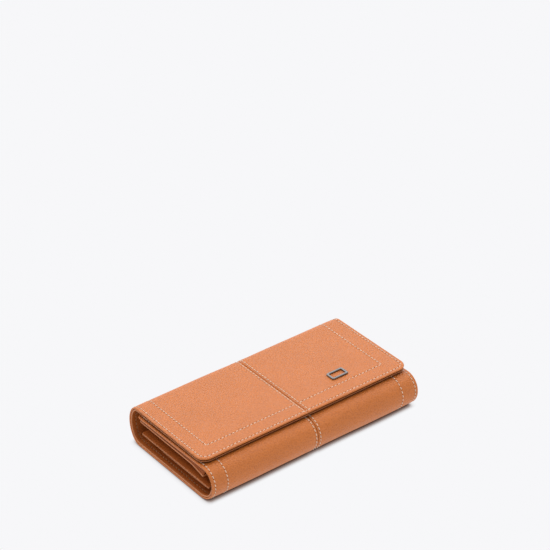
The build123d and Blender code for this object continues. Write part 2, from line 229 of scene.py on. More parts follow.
# ---------------------------------------------------------------- meshes
def mesh_object(name, points, faces, uv=None, material=None):
    """An object from arrays of points in metres and faces, with one uv per point."""
    mesh = bpy.data.meshes.new(name)
    mesh.from_pydata(points.tolist(), [], faces)
    mesh.update()
    if uv is not None:
        layer = mesh.uv_layers.new(name="skin")
        index = np.empty(len(mesh.loops), np.int64)
        mesh.loops.foreach_get("vertex_index", index)
        layer.data.foreach_set("uv", uv[index].astype(np.float32).ravel())
    mesh.shade_smooth()
    piece = bpy.data.objects.new(name, mesh)
    bpy.context.scene.collection.objects.link(piece)
    if material:
        mesh.materials.append(material)
    return piece


def spaced(low, high, step, features, fine=(0.0, 0.4, 0.85, 1.5)):
    """Places from low to high, closer together round each feature."""
    places = list(np.linspace(low, high, max(2, math.ceil((high - low) / step) + 1)))
    for feature in features:
        places += [feature + way * gap for gap in fine for way in (-1, 1)]
    kept = []
    for value in sorted(v for v in places if low <= v <= high):
        if not kept or value - kept[-1] > 0.2:
            kept.append(value)
    kept[-1] = high
    return np.array(kept)


def nothing(s, x):
    """No relief."""
    return np.zeros(np.broadcast(s, x).shape)


def rounded_limit(s, ends, corners, reach, radius_less):
    """How far a side edge draws in at each s, for rounded corners at either end."""
    drawn = np.zeros(s.shape)
    for end, corner, way in ((ends[0], corners[0], 1), (ends[1], corners[1], -1)):
        radius = max(corner - radius_less, 0.0)
        if radius:
            past = np.clip(radius - way * (s - end), 0, radius)
            drawn = np.maximum(drawn, radius - np.sqrt(radius**2 - past**2))
    return np.minimum(drawn, reach)


def sheet(name, route, ends, sides, depth, thick, edge, material, corners=(0, 0, 0, 0),
          free=(True, True), step=2.0, s_lines=(), x_lines=(), relief=nothing, under=nothing,
          rim=None):
    """A closed sheet with rounded edges, laid along a route.

    ends and sides bound it in s and x. corners are its radii at the start's low and high
    side and the end's low and high side. An end that isn't free is cut square. A rim is a
    material of its own for the edges.
    """
    first, last = ends[0] + edge * free[0], ends[1] - edge * free[1]
    left, right = sides[0] + edge, sides[1] - edge
    low_corners, high_corners = (corners[0], corners[2]), (corners[1], corners[3])
    turn = np.linspace(0, math.pi / 2, 9)
    arcs = []
    for corner, end, way in ((max(corners[:2]), first, 1), (max(corners[2:]), last, -1)):
        if corner:
            arcs += list(end + way * (corner - edge) * (1 - np.cos(turn)))
    arcs += [first + 0.06, last - 0.06]
    rows = spaced(first, last, step, s_lines)
    rows = np.unique(np.round(np.concatenate([rows, [v for v in arcs if first < v < last]]), 4))
    columns = spaced(left, right, step, x_lines)
    widest = max(corners) + 5.0
    low = rounded_limit(rows, (first, last), low_corners, widest, edge)
    high = rounded_limit(rows, (first, last), high_corners, widest, edge)
    s = np.repeat(rows[:, None], len(columns), 1)
    from_left = np.clip(1 - (columns - left) / widest, 0, 1)
    from_right = np.clip(1 - (right - columns) / widest, 0, 1)
    x = columns[None, :] + low[:, None] * from_left - high[:, None] * from_right
    count, wide = s.shape

    index = np.arange(count * wide).reshape(count, wide)
    quads = np.stack(
        [index[:-1, :-1], index[:-1, 1:], index[1:, 1:], index[1:, :-1]], -1).reshape(-1, 4)
    upper = (s.ravel(), x.ravel(), depth - relief(s, x).ravel())
    lower = (s.ravel(), x.ravel(), depth + thick + under(s, x).ravel())

    # Walk round the free edge: down the left side, across the start, up the right side
    left_chain, right_chain = index[::-1, 0], index[:, -1]
    chain = list(left_chain)
    chain += list(index[0, 1:]) if free[0] else []
    chain += list(right_chain[1:] if free[0] else right_chain)
    chain += list(index[-1, -2:0:-1]) if free[1] else []
    chain = np.array(chain)
    breaks = [] if free[0] else [len(left_chain) - 1]
    closed = free[1]
    outline = np.stack([upper[0][chain], upper[1][chain]], 1)
    before, after = np.roll(outline, 1, 0), np.roll(outline, -1, 0)
    if not closed:
        before[0], after[-1] = outline[0], outline[-1]
    for spot in breaks:
        after[spot], before[spot + 1] = outline[spot], outline[spot + 1]
    into, out = outline - before, after - outline
    into = into / np.maximum(np.linalg.norm(into, axis=1), 1e-9)[:, None]
    out = out / np.maximum(np.linalg.norm(out, axis=1), 1e-9)[:, None]
    run = into + out
    run = run / np.maximum(np.linalg.norm(run, axis=1), 1e-9)[:, None]
    mitre = 1 / np.clip(np.maximum((run * into).sum(1), (run * out).sum(1)), 0.7, 1)
    away = np.stack([-run[:, 1], run[:, 0]], 1) * mitre[:, None]
    away = -away if (away[0, 1] > 0) else away

    steps = np.radians([22.5, 45.0, 67.5, 90.0])
    profile = [(edge * math.sin(a), edge * (1 - math.cos(a))) for a in steps]
    profile += [(o, thick - h) for o, h in reversed(profile)]
    if thick <= 2 * edge + 1e-6:
        profile.pop(len(steps))
    lift = upper[2][chain] - depth
    rings = []
    for offset, fall in profile:
        rings.append((outline[:, 0] + away[:, 0] * offset, outline[:, 1] + away[:, 1] * offset,
                      depth + fall + lift * (1 - fall / thick)))
    parts = [upper, lower] + rings
    s_all, x_all, d_all = (np.concatenate([part[k] for part in parts]) for k in range(3))
    points = place(route, s_all, x_all, d_all)
    size, around = count * wide, len(chain)
    faces = quads.tolist() + (quads[:, ::-1] + size).tolist()
    loops = [chain]
    loops += [2 * size + number * around + np.arange(around) for number in range(len(rings))]
    loops += [chain + size]
    pairs = [(i, (i + 1) % around) for i in range(around if closed else around - 1)]
    pairs = [pair for pair in pairs if pair[0] not in breaks]
    for top, bottom in zip(loops, loops[1:]):
        faces += [[int(top[i]), int(bottom[i]), int(bottom[j]), int(top[j])] for i, j in pairs]
    for end, open_end in ((0, not free[0]), (-1, not free[1])):
        if open_end:
            top_row, bottom_row = index[end], index[end] + size
            start_spot = breaks[0] if end == 0 else len(chain) - 1
            finish_spot = breaks[0] + 1 if end == 0 else 0
            cap = list(top_row) + [int(loop[finish_spot if end == 0 else start_spot])
                                   for loop in loops[1:-1]]
            cap += list(bottom_row[::-1]) + [int(loop[start_spot if end == 0 else finish_spot])
                                             for loop in loops[-2:0:-1]]
            faces.append([int(v) for v in (cap if end == -1 else cap[::-1])])
    uv = np.stack([x_all, s_all], 1) * UV_PER_MM
    uv[size:2 * size] += 0.37
    extra = np.concatenate([away * fall for _, fall in profile])[:, ::-1] * UV_PER_MM
    uv[2 * size:] += extra
    piece = mesh_object(name, points, faces, uv, material)
    if rim:
        piece.data.materials.append(rim)
        numbers = np.ones(len(faces), np.int32)
        numbers[:2 * len(quads)] = 0
        piece.data.polygons.foreach_set("material_index", numbers)
    return piece


def sew(name, route, lines, depth, relief=nothing, inner=False, material=None, ends=None):
    """Stitches along lines of (s, x) points, and dark discs of painted shade for the needle holes between them, as
    one piece.

    Stitches on the outside stop short of the snap socket.
    """
    centres, ways = [], []
    for line in lines:
        line = np.array(line, float)
        legs = np.linalg.norm(np.diff(line, axis=0), axis=1)
        along = np.concatenate([[0], np.cumsum(legs)])
        count = max(1, round(along[-1] / PITCH))
        spots = (np.arange(count) + 0.5) * along[-1] / count
        for spot in spots:
            leg = min(np.searchsorted(along, spot, side="right") - 1, len(legs) - 1)
            way = (line[leg + 1] - line[leg]) / legs[leg]
            centres.append(line[leg] + way * (spot - along[leg]))
            ways.append(way)
    centres, ways = np.array(centres), np.array(ways)
    keep = inner | (np.hypot(centres[:, 0] - SOCKET_AT, centres[:, 1]) > SOCKET_WELL)
    if ends is not None:
        keep = keep & (centres[:, 0] >= ends[0]) & (centres[:, 0] < ends[1])
    centres, ways = centres[keep], ways[keep]
    slant = math.radians(10)
    turned = np.array([[math.cos(slant), -math.sin(slant)], [math.sin(slant), math.cos(slant)]])
    ways = ways @ turned
    run = np.array([-1.0, -0.82, -0.45, 0.0, 0.45, 0.82, 1.0])
    around = np.linspace(0, 2 * math.pi, THREAD_SIDES, endpoint=False)
    thickness = THREAD * np.array([0.55, 0.85, 1.0, 1.02, 1.0, 0.85, 0.55])
    height = 0.18 * (1 - run**2) - 0.36 * run**4
    along = np.repeat(run * STITCH / 2, THREAD_SIDES)
    across = (thickness[:, None] * np.cos(around)).ravel()
    up = (height[:, None] + 0.85 * thickness[:, None] * np.sin(around)).ravel()
    s = centres[:, :1] + ways[:, :1] * along - ways[:, 1:] * across
    x = centres[:, 1:] + ways[:, 1:] * along + ways[:, :1] * across
    raise_by = relief(centres[:, 0], centres[:, 1])[:, None] + up
    points = place(route, s.ravel(), x.ravel(), (depth + (raise_by if inner else -raise_by)).ravel())
    quads = []
    for ring in range(len(run) - 1):
        for k in range(THREAD_SIDES):
            a, b = ring * THREAD_SIDES + k, ring * THREAD_SIDES + (k + 1) % THREAD_SIDES
            quads.append([a, b, b + THREAD_SIDES, a + THREAD_SIDES])
    stitch_size = len(run) * THREAD_SIDES
    caps = [list(range(THREAD_SIDES - 1, -1, -1)),
            list(range(stitch_size - THREAD_SIDES, stitch_size))]
    faces = []
    for number in range(len(centres)):
        shift = number * stitch_size
        faces += [[v + shift for v in face] for face in quads + caps]
    uv = np.stack([np.tile(along, len(centres)), np.tile(across, len(centres))], 1) * UV_PER_MM

    # A dark, slightly dished disc of painted shade where each thread dives in, for the shadow in its needle hole
    rim = np.linspace(0, 2 * math.pi, HOLE_SIDES, endpoint=False)
    hole_along = np.append(PITCH / 2 + HOLE[0] * np.cos(rim), PITCH / 2)
    hole_across = np.append(HOLE[1] * np.sin(rim), 0)
    hole_up = np.append(np.full(HOLE_SIDES, 0.045), 0.02)
    hole_s = centres[:, :1] + ways[:, :1] * hole_along - ways[:, 1:] * hole_across
    hole_x = centres[:, 1:] + ways[:, 1:] * hole_along + ways[:, :1] * hole_across
    hole_up = relief(hole_s, hole_x) + hole_up
    hole_points = place(route, hole_s.ravel(), hole_x.ravel(),
                        (depth + (hole_up if inner else -hole_up)).ravel())
    first_hole, thread_faces = len(points), len(faces)
    order = range(HOLE_SIDES) if inner else range(HOLE_SIDES - 1, -1, -1)
    for number in range(len(centres)):
        shift = first_hole + number * (HOLE_SIDES + 1)
        middle = shift + HOLE_SIDES
        faces += [[shift + k, shift + (k + 1) % HOLE_SIDES, middle] if inner else
                  [shift + (k + 1) % HOLE_SIDES, shift + k, middle] for k in order]
    points = np.concatenate([points, hole_points])
    uv = np.concatenate([uv, np.stack([hole_x.ravel(), hole_s.ravel()], 1) * UV_PER_MM])
    piece = mesh_object(name, points, faces, uv, material or THREAD_MATERIAL)
    piece.data.materials.append(HOLE_SHADE_MATERIAL)
    slot_numbers = np.zeros(len(faces), np.int32)
    slot_numbers[thread_faces:] = 1
    piece.data.polygons.foreach_set("material_index", slot_numbers)
    return piece


# ---------------------------------------------------------------- materials
# How far the painted crevice shade reaches, in millimetres
CREVICE_SHADE_REACH = 5.0


def node_material(name):
    """A new node material, its nodes and links, and its shader."""
    material = bpy.data.materials.new(name)
    material.use_nodes = True
    tree = material.node_tree
    return material, tree.nodes, tree.links, tree.nodes["Principled BSDF"]


def skin_coordinates(nodes, links, scale, uv=True):
    """Surface coordinates in units of scale millimetres."""
    source = nodes.new("ShaderNodeTexCoord")
    mapping = nodes.new("ShaderNodeMapping")
    links.new(source.outputs["UV" if uv else "Object"], mapping.inputs["Vector"])
    size = 1 / (UV_PER_MM * scale) if uv else 1 / (MM * scale)
    mapping.inputs["Scale"].default_value = (size, size, size)
    return mapping.outputs["Vector"]


def noise(nodes, links, vector, scale, detail=3.0, rough=0.5):
    """A noise texture's value."""
    texture = nodes.new("ShaderNodeTexNoise")
    texture.inputs["Scale"].default_value = scale
    texture.inputs["Detail"].default_value = detail
    texture.inputs["Roughness"].default_value = rough
    links.new(vector, texture.inputs["Vector"])
    return texture.outputs["Fac"]


def ranged(nodes, links, value, low, high, to_low, to_high):
    """A value moved from one range to another, and kept inside it."""
    node = nodes.new("ShaderNodeMapRange")
    for socket, number in (("From Min", low), ("From Max", high), ("To Min", to_low),
                           ("To Max", to_high)):
        node.inputs[socket].default_value = number
    links.new(value, node.inputs["Value"])
    return node.outputs["Result"]


def mixed(nodes, links, factor, first, second):
    """Two colours mixed by a factor."""
    node = nodes.new("ShaderNodeMix")
    node.data_type = "RGBA"
    links.new(factor, node.inputs["Factor"])
    for socket, colour in ((6, first), (7, second)):
        if isinstance(colour, tuple):
            node.inputs[socket].default_value = (*colour, 1)
        else:
            links.new(colour, node.inputs[socket])
    return node.outputs[2]


def bumped(nodes, links, height, depth, strength=1.0, onto=None):
    """A bump of a depth in millimetres, over another if given."""
    node = nodes.new("ShaderNodeBump")
    node.inputs["Strength"].default_value = strength
    node.inputs["Distance"].default_value = depth * MM
    links.new(height, node.inputs["Height"])
    if onto is not None:
        links.new(onto, node.inputs["Normal"])
    return node.outputs["Normal"]


def leather(name, colour, deep, grain, grain_depth, roughness, uv=True, gloss=0.5):
    """Grained leather: pebbles, fine pores, soft colour drift, uneven polish and painted crevice shade."""
    material, nodes, links, shader = node_material(name)
    vector = skin_coordinates(nodes, links, grain, uv)
    warp = nodes.new("ShaderNodeTexNoise")
    warp.inputs["Scale"].default_value = 0.7
    warp.inputs["Detail"].default_value = 2.0
    links.new(vector, warp.inputs["Vector"])
    shifted = nodes.new("ShaderNodeVectorMath")
    shifted.operation = "MULTIPLY_ADD"
    links.new(warp.outputs["Color"], shifted.inputs[0])
    shifted.inputs[1].default_value = (0.9, 0.9, 0.9)
    links.new(vector, shifted.inputs[2])
    pebbles = nodes.new("ShaderNodeTexVoronoi")
    pebbles.feature = "SMOOTH_F1"
    pebbles.inputs["Scale"].default_value = 1.0
    pebbles.inputs["Smoothness"].default_value = 0.35
    links.new(shifted.outputs["Vector"], pebbles.inputs["Vector"])
    domes = ranged(nodes, links, pebbles.outputs["Distance"], 0.1, 0.75, 1.0, 0.0)
    pores = noise(nodes, links, vector, 3.2, 4.0, 0.6)
    broad = noise(nodes, links, vector, 0.035, 3.0, 0.55)
    tint = ranged(nodes, links, broad, 0.35, 0.65, 0.0, 0.55)
    creased = ranged(nodes, links, domes, 0.0, 0.45, 0.42, 0.0)
    base = mixed(nodes, links, tint, colour, tuple(c * 0.9 for c in colour))
    base = mixed(nodes, links, creased, base, deep)
    # Painted shade: ambient occlusion darkens the colour towards a deep tone in crevices, gaps and hollows
    hollow = nodes.new("ShaderNodeAmbientOcclusion")
    hollow.samples = 8
    hollow.inputs["Distance"].default_value = CREVICE_SHADE_REACH * MM
    open_to_light = ranged(nodes, links, hollow.outputs["AO"], 0.1, 0.52, 0.0, 1.0)
    painted_crevice_shade = tuple(c * 0.3 for c in deep)
    links.new(mixed(nodes, links, open_to_light, painted_crevice_shade, base), shader.inputs["Base Color"])
    links.new(ranged(nodes, links, pores, 0.3, 0.7, roughness - 0.06, roughness + 0.08),
              shader.inputs["Roughness"])
    shader.inputs["Specular IOR Level"].default_value = gloss
    rolling = noise(nodes, links, vector, 0.18, 2.0, 0.5)
    normal = bumped(nodes, links, rolling, 0.22)
    normal = bumped(nodes, links, domes, grain_depth, onto=normal)
    normal = bumped(nodes, links, pores, grain_depth * 0.35, onto=normal)
    links.new(normal, shader.inputs["Normal"])
    return material


def thread(name, colour):
    """Twisted sewing thread."""
    material, nodes, links, shader = node_material(name)
    vector = skin_coordinates(nodes, links, 1.0)
    twist = nodes.new("ShaderNodeTexWave")
    twist.bands_direction = "DIAGONAL"
    twist.inputs["Scale"].default_value = 1.1
    twist.inputs["Distortion"].default_value = 0.6
    links.new(vector, twist.inputs["Vector"])
    shade = ranged(nodes, links, twist.outputs["Fac"], 0.0, 1.0, 0.0, 0.5)
    links.new(mixed(nodes, links, shade, colour, tuple(c * 0.72 for c in colour)),
              shader.inputs["Base Color"])
    shader.inputs["Roughness"].default_value = 0.6
    shader.inputs["Sheen Weight"].default_value = 0.25
    links.new(bumped(nodes, links, twist.outputs["Fac"], 0.08), shader.inputs["Normal"])
    return material


def woven(name, colour, pitch):
    """Plain woven tape or lining cloth."""
    material, nodes, links, shader = node_material(name)
    vector = skin_coordinates(nodes, links, pitch, uv=False)
    bands = []
    for direction in ("X", "Z"):
        wave = nodes.new("ShaderNodeTexWave")
        wave.bands_direction = direction
        wave.inputs["Scale"].default_value = 0.32
        wave.inputs["Distortion"].default_value = 0.3
        links.new(vector, wave.inputs["Vector"])
        bands.append(wave.outputs["Fac"])
    cross = nodes.new("ShaderNodeMath")
    cross.operation = "MAXIMUM"
    links.new(bands[0], cross.inputs[0])
    links.new(bands[1], cross.inputs[1])
    links.new(mixed(nodes, links, cross.outputs[0], tuple(c * 0.6 for c in colour), colour),
              shader.inputs["Base Color"])
    shader.inputs["Roughness"].default_value = 0.85
    shader.inputs["Sheen Weight"].default_value = 0.2
    links.new(bumped(nodes, links, cross.outputs[0], 0.08), shader.inputs["Normal"])
    return material


def metal(name, colour, roughness, wear):
    """Plated metal with a faint uneven surface and a few dull spots."""
    material, nodes, links, shader = node_material(name)
    vector = skin_coordinates(nodes, links, 1.0, uv=False)
    spots = noise(nodes, links, vector, 1.4, 4.0, 0.6)
    links.new(mixed(nodes, links, ranged(nodes, links, spots, 0.45, 0.7, 0.0, wear), colour,
                    tuple(c * 0.6 for c in colour)), shader.inputs["Base Color"])
    shader.inputs["Metallic"].default_value = 1.0
    links.new(ranged(nodes, links, spots, 0.3, 0.7, roughness - 0.06, roughness + 0.1),
              shader.inputs["Roughness"])
    links.new(bumped(nodes, links, spots, 0.02), shader.inputs["Normal"])
    return material


TAN = (0.60, 0.172, 0.028)
TAN_DEEP = (0.36, 0.085, 0.012)
SKIN = leather("outer_leather", TAN, TAN_DEEP, 0.95, 0.23, 0.42, gloss=0.45)
INSIDE = leather("inner_leather", (0.40, 0.100, 0.015), (0.22, 0.05, 0.009), 0.6, 0.03, 0.5,
                 gloss=0.3)
# Edge colour, partly edge paint and partly a painted highlight: lighter than the inner leather, as if its cut
# edges caught the light
EDGE_PAINT_AND_HIGHLIGHT = leather("leather_edge_paint_and_highlight", (0.58, 0.22, 0.085), (0.34, 0.11, 0.04), 0.5, 0.03, 0.5,
                   gloss=0.3)
THREAD_MATERIAL = thread("cream_thread", (0.88, 0.70, 0.54))
INNER_THREAD = thread("tan_thread", (0.40, 0.19, 0.075))
# Dark discs of painted shade for the needle holes
HOLE_SHADE_MATERIAL = leather("needle_hole_painted_shade", (0.33, 0.085, 0.018), (0.2, 0.04, 0.01), 0.5, 0.01, 0.7,
                        gloss=0.1)
BOARD = leather("bonded_board", (0.20, 0.09, 0.04), (0.12, 0.05, 0.02), 0.4, 0.02, 0.8, uv=False)
TAPE = woven("tape_cloth", (0.26, 0.08, 0.02), 0.5)
REINFORCING = woven("seam_tape_cloth", (0.16, 0.05, 0.02), 0.5)
BAG = woven("bag_twill", (0.30, 0.12, 0.05), 0.35)
NICKEL = metal("nickel", (0.78, 0.75, 0.70), 0.24, 0.3)
GUNMETAL = metal("gunmetal", (0.19, 0.18, 0.175), 0.25, 0.4)
SNAP_METAL = metal("snap_metal", (0.5, 0.48, 0.46), 0.3, 0.35)


# ---------------------------------------------------------------- outer leather
def inset(s, x, half=HALF):
    """Distance in from the strip's nearest free edge, round its four corners."""
    radius = np.where(s > STRIP.length / 2, PANEL_ROUND, ROUND)
    over_s = np.abs(s - STRIP.length / 2) - (STRIP.length / 2 - radius)
    over_x = np.abs(x) - (half - radius)
    beyond = np.hypot(np.maximum(over_s, 0), np.maximum(over_x, 0))
    return radius - beyond - np.minimum(np.maximum(over_s, over_x), 0)


def groove(distance, width=0.55):
    """A dip of depth one, round a line at distance zero."""
    return np.exp(-(distance / width) ** 2)


def socket_well(from_snap):
    """One where the leather is pressed down round a snap, and zero away from it."""
    return np.clip(SOCKET_WELL + 0.9 - from_snap, 0, WELL_SLOPE) / WELL_SLOPE


def strip_relief(s, x):
    """How far the outer leather stands above its plain skin."""
    from_seam = np.abs(x)
    level = 0.26 * (1 - np.exp(-from_seam / 14)) * (1 - np.exp(-np.maximum(inset(s, x), 0) / 6))
    level += 0.07 * np.sin(x / 17 + 0.6) * np.sin(s / 21 + 1.1)
    level += 0.05 * np.sin(x / 9.5 - 1.3) * np.sin(s / 12.5 + 0.3)
    level -= 0.45 * groove(from_seam, 0.75)
    level += 0.16 * groove(from_seam - 4.4, 2.0)
    pucker = np.cos(2 * math.pi * s / PITCH)
    level += 0.05 * pucker * groove(from_seam - SEAM_ROW, 1.1)
    level -= 0.16 * groove(from_seam - SEAM_ROW)
    level -= 0.18 * groove(inset(s, x) - EDGE_ROW)
    inside_frame = (x > FRAME_LEFT) & (x < FRAME_RIGHT)
    level -= 0.15 * groove(s - FRAME_FRONT) * inside_frame
    past_front = 1 / (1 + np.exp(-(s - FRAME_FRONT) / 0.4))
    for row in (FRAME_LEFT, FRAME_RIGHT):
        level -= 0.15 * groove(x - row) * past_front
    flat_below = np.clip((np.abs(s - BASE_MIDDLE) - (BASE_RUN / 2 - 6)) / 8, 0, 1)
    level = level * np.where(s > LOWER - 5, np.where(s < FRONT_1 + 3, flat_below, 1), 1)
    well = socket_well(np.hypot(s - SOCKET_AT, x))
    return level * (1 - well) - WELL_DEPTH * well


def strip_lines(side):
    """Where the outer leather needs fine columns: seam, stitch rows, edge."""
    rows = (FRAME_LEFT, -SEAM_ROW, -4.4, -0.9, -SOCKET_WELL, -HALF + EDGE_ROW)
    if side == "right":
        rows = (FRAME_RIGHT, SEAM_ROW, 4.4, 0.9, SOCKET_WELL, HALF - EDGE_ROW)
    return rows


REPLACED = {
    "flap": ["flap_leather"],
    "rear": ["spine_upper_leather", "spine_lower_leather"],
    "base": ["base_leather"],
    "front": ["front_spine_leather"],
    "panel": ["front_panel_leather"],
}
for stretch, (begin, finish, *_) in STRETCHES.items():
    for side in ("left", "right"):
        sides = (-HALF, -SEAM_HALF_GAP) if side == "left" else (SEAM_HALF_GAP, HALF)
        radii = [0.0, 0.0, 0.0, 0.0]
        corner_spot = 0 if side == "left" else 1
        if stretch == "flap":
            radii[corner_spot] = ROUND
        if stretch == "panel":
            radii[corner_spot + 2] = PANEL_ROUND
        lines = [EDGE_ROW, FRAME_FRONT, STRIP.length - EDGE_ROW, SOCKET_AT - SOCKET_WELL,
                 SOCKET_AT + SOCKET_WELL]
        lines = [line for line in lines if begin < line < finish]
        curved = stretch not in ("flap", "panel")
        piece = sheet(
            f"leather_{stretch}_{side}", STRIP, (begin, finish), sides, 0.0, LEATHER, LEATHER_EDGE,
            SKIN, corners=radii, free=(stretch == "flap", stretch == "panel"),
            step=1.5 if curved else 1.7, s_lines=lines, x_lines=strip_lines(side),
            relief=strip_relief)
        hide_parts(*[f"{node}_{side}" for node in REPLACED[stretch]])
        bend(piece, stretch)


# ---------------------------------------------------------------- sewing on the outside
def rounded_line(low, high, start, way, inset_by, corner=ROUND):
    """A row across a rounded free end: side, corner arc, end, corner arc, side."""
    radius = max(corner - inset_by, 0.2)
    turn = np.radians(np.linspace(0, 90, 7))
    line = [(start + way * (inset_by + ROW_TAIL), low + inset_by)]
    line += [(start + way * (inset_by + radius - radius * math.sin(a)),
              low + inset_by + radius - radius * math.cos(a)) for a in turn]
    line += [(start + way * (inset_by + radius - radius * math.cos(a)),
              high - inset_by - radius + radius * math.sin(a)) for a in turn]
    line += [(start + way * (inset_by + ROW_TAIL), high - inset_by)]
    return line


strip_end = STRIP.length


def side_row(way):
    """The edge row along one side, between the two rounded ends."""
    x = way * (HALF - EDGE_ROW)
    return [(EDGE_ROW + ROW_TAIL, x), (strip_end - EDGE_ROW - ROW_TAIL, x)]


outside_rows = [
    rounded_line(-HALF, HALF, 0.0, 1, EDGE_ROW),
    side_row(-1),
    side_row(1),
    rounded_line(-HALF, HALF, strip_end, -1, EDGE_ROW, PANEL_ROUND),
    [(FRAME_FRONT, FRAME_LEFT), (FRAME_FRONT, -SEAM_ROW)],
    [(FRAME_FRONT, SEAM_ROW), (FRAME_FRONT, FRAME_RIGHT)],
    [(FRAME_FRONT, FRAME_LEFT), (strip_end - FRAME_FRONT, FRAME_LEFT)],
    [(FRAME_FRONT, FRAME_RIGHT), (strip_end - FRAME_FRONT, FRAME_RIGHT)],
    [(SEAM_END, -SEAM_ROW), (strip_end - SEAM_END, -SEAM_ROW)],
    [(SEAM_END, SEAM_ROW), (strip_end - SEAM_END, SEAM_ROW)],
]
for stretch, (begin, finish, *_) in STRETCHES.items():
    threads = sew(f"thread_outside_{stretch}", STRIP, outside_rows, 0.0, strip_relief,
                  ends=(begin, finish))
    bend(threads, stretch)

# ---------------------------------------------------------------- linings
LINING_NODES = {
    "rear": ["spine_upper_lining", "spine_lower_lining"],
    "base": ["base_lining"],
    "front": ["front_spine_lining"],
    "panel": ["front_panel_lining"],
    "flap": ["flap_hinge_lining"],
}
LINING_TOP = LEATHER + 0.06
FLAP_DROP = 0.95


def lining_under(s, x):
    """The lining's sewn edge dips, and its middle rolls a little."""
    side = np.abs(np.abs(x) - (HALF - LINING_ROW))
    return -0.14 * groove(side, 0.6) + 0.03 * np.sin(x / 13) * np.sin(s / 11) - lining_drop(s, x)


def lining_drop(s, x):
    """Under the flap the lining hangs lower, to leave room for the board."""
    behind = 1 / (1 + np.exp(-(s - (CARD_REAR - FLAP_FRONT + 4)) / 2.0))
    return -FLAP_DROP * (1 - behind) + 0 * x


for stretch, (begin, finish, *_) in STRETCHES.items():
    on_flap, on_panel = stretch == "flap", stretch == "panel"
    start = begin + 0.35 if on_flap else begin
    end = finish - 0.4 if on_panel else finish
    wide = PANEL_HALF - 0.3 if on_panel else HALF - 0.3
    radii = (ROUND, ROUND, 0, 0) if on_flap else (0, 0, 0, 0)
    radii = (0, 0, PANEL_ROUND, PANEL_ROUND) if on_panel else radii
    piece = sheet(
        f"lining_{stretch}", STRIP, (start, end), (-wide, wide), LINING_TOP, LINING,
        LINING_EDGE, INSIDE, corners=radii, free=(on_flap, on_panel), step=2.4,
        s_lines=(CARD_REAR - FLAP_FRONT - 3, CARD_REAR - FLAP_FRONT + 3),
        x_lines=(-HALF + LINING_ROW, HALF - LINING_ROW),
        relief=lining_drop, under=lining_under, rim=EDGE_PAINT_AND_HIGHLIGHT)
    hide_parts(*LINING_NODES[stretch])
    bend(piece, stretch)
    if not on_panel:
        first = CARD_REAR - FLAP_FRONT + 3 if on_flap else begin
        rows = [[(first, way * (HALF - LINING_ROW)), (end, way * (HALF - LINING_ROW))]
                for way in (-1, 1)]
        threads = sew(f"thread_lining_{stretch}", STRIP, rows, LINING_TOP + LINING,
                      lining_under, inner=True, material=INNER_THREAD)
        bend(threads, stretch)

# ---------------------------------------------------------------- card panel and slots
card_deep = FLAP_TOP - CARD_LOW
card_thick = 1.7
card_inset = 2.8
card_length = CARD_REAR - FLAP_FRONT
slot_nodes = sorted(node for node in frame["nodes"] if node.startswith("flap_card_slot"))
SLOT_STEP_EDGE = 0.18
recesses = []
for side in ("left", "right"):
    low, high = span(f"flap_card_slot_{side}_1")
    recesses.append((low[0] - 0.3, high[0] + 0.3, low[1] - FLAP_FRONT - 1.0,
                     high[1] - FLAP_FRONT + 0.3))
recess_depth = span("flap_card_slot_left_1")[1][2] - CARD_LOW


def card_under(s, x):
    """The card panel's underside, sunk where the slots are sewn in."""
    sunk = np.zeros(np.broadcast(s, x).shape)
    for low, high, front, rear in recesses:
        inside = np.minimum(np.minimum(x - low, high - x), np.minimum(s - front, rear - s))
        sunk = np.maximum(sunk, np.clip(inside / 0.6, 0, 1))
    snap = span("snap_stud")
    centre = (snap[0] + snap[1]) / 2
    from_snap = np.hypot(x - centre[0], s - (centre[1] - FLAP_FRONT))
    ring = 0.15 * groove(from_snap - 9.6, 0.7) - WELL_DEPTH * socket_well(from_snap)
    border = np.minimum(HALF - card_inset - np.abs(x), np.minimum(s - card_inset, card_length - s))
    return -recess_depth * sunk + ring - 0.42 * (1 - np.clip(border / 3.5, 0, 1)) ** 2


recess_x = [value for low, high, _, _ in recesses for value in (low, high, low + 0.6, high - 0.6)]
stud_at = (span("snap_stud")[0] + span("snap_stud")[1])[1] / 2 - FLAP_FRONT
card_panel = sheet(
    "card_panel", STRIP, (card_inset, card_length), (-HALF + card_inset, HALF - card_inset),
    card_deep - card_thick, card_thick, 0.5, INSIDE, corners=(ROUND - 1, ROUND - 1, 0, 0), step=2.2,
    s_lines=(recesses[0][2] + 0.3, recesses[0][3] - 0.3, stud_at - SOCKET_WELL,
             stud_at + SOCKET_WELL),
    x_lines=recess_x + [-SOCKET_WELL, 0, SOCKET_WELL], under=card_under,
    rim=EDGE_PAINT_AND_HIGHLIGHT)
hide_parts("flap_card_panel")
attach(card_panel, "flap")
card_row = card_inset + 2.2
card_rows = [rounded_line(-HALF, HALF, 0.0, 1, card_row)] + [
    [(30.0 + card_row, way * (HALF - card_row)), (card_length - 2, way * (HALF - card_row))]
    for way in (-1, 1)]
threads = sew("thread_card_panel", STRIP, card_rows, card_deep, inner=True, material=INNER_THREAD)
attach(threads, "flap")

for node in slot_nodes:
    low, high = span(node)
    start, end = low[1] - FLAP_FRONT, high[1] - FLAP_FRONT
    depth = FLAP_TOP - high[2]
    thick = high[2] - low[2]
    piece = sheet(f"{node}_sheet", STRIP, (start, end), (low[0], high[0]), depth, thick,
                  SLOT_STEP_EDGE, INSIDE, step=4.0, s_lines=(start + 1.6,), rim=EDGE_PAINT_AND_HIGHLIGHT)
    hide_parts(node)
    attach(piece, "flap")
    threads = sew(f"{node}_thread", STRIP, [[(start + 1.8, low[0] + 2), (start + 1.8, high[0] - 2)]],
                  depth + thick, inner=True, material=INNER_THREAD)
    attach(threads, "flap")

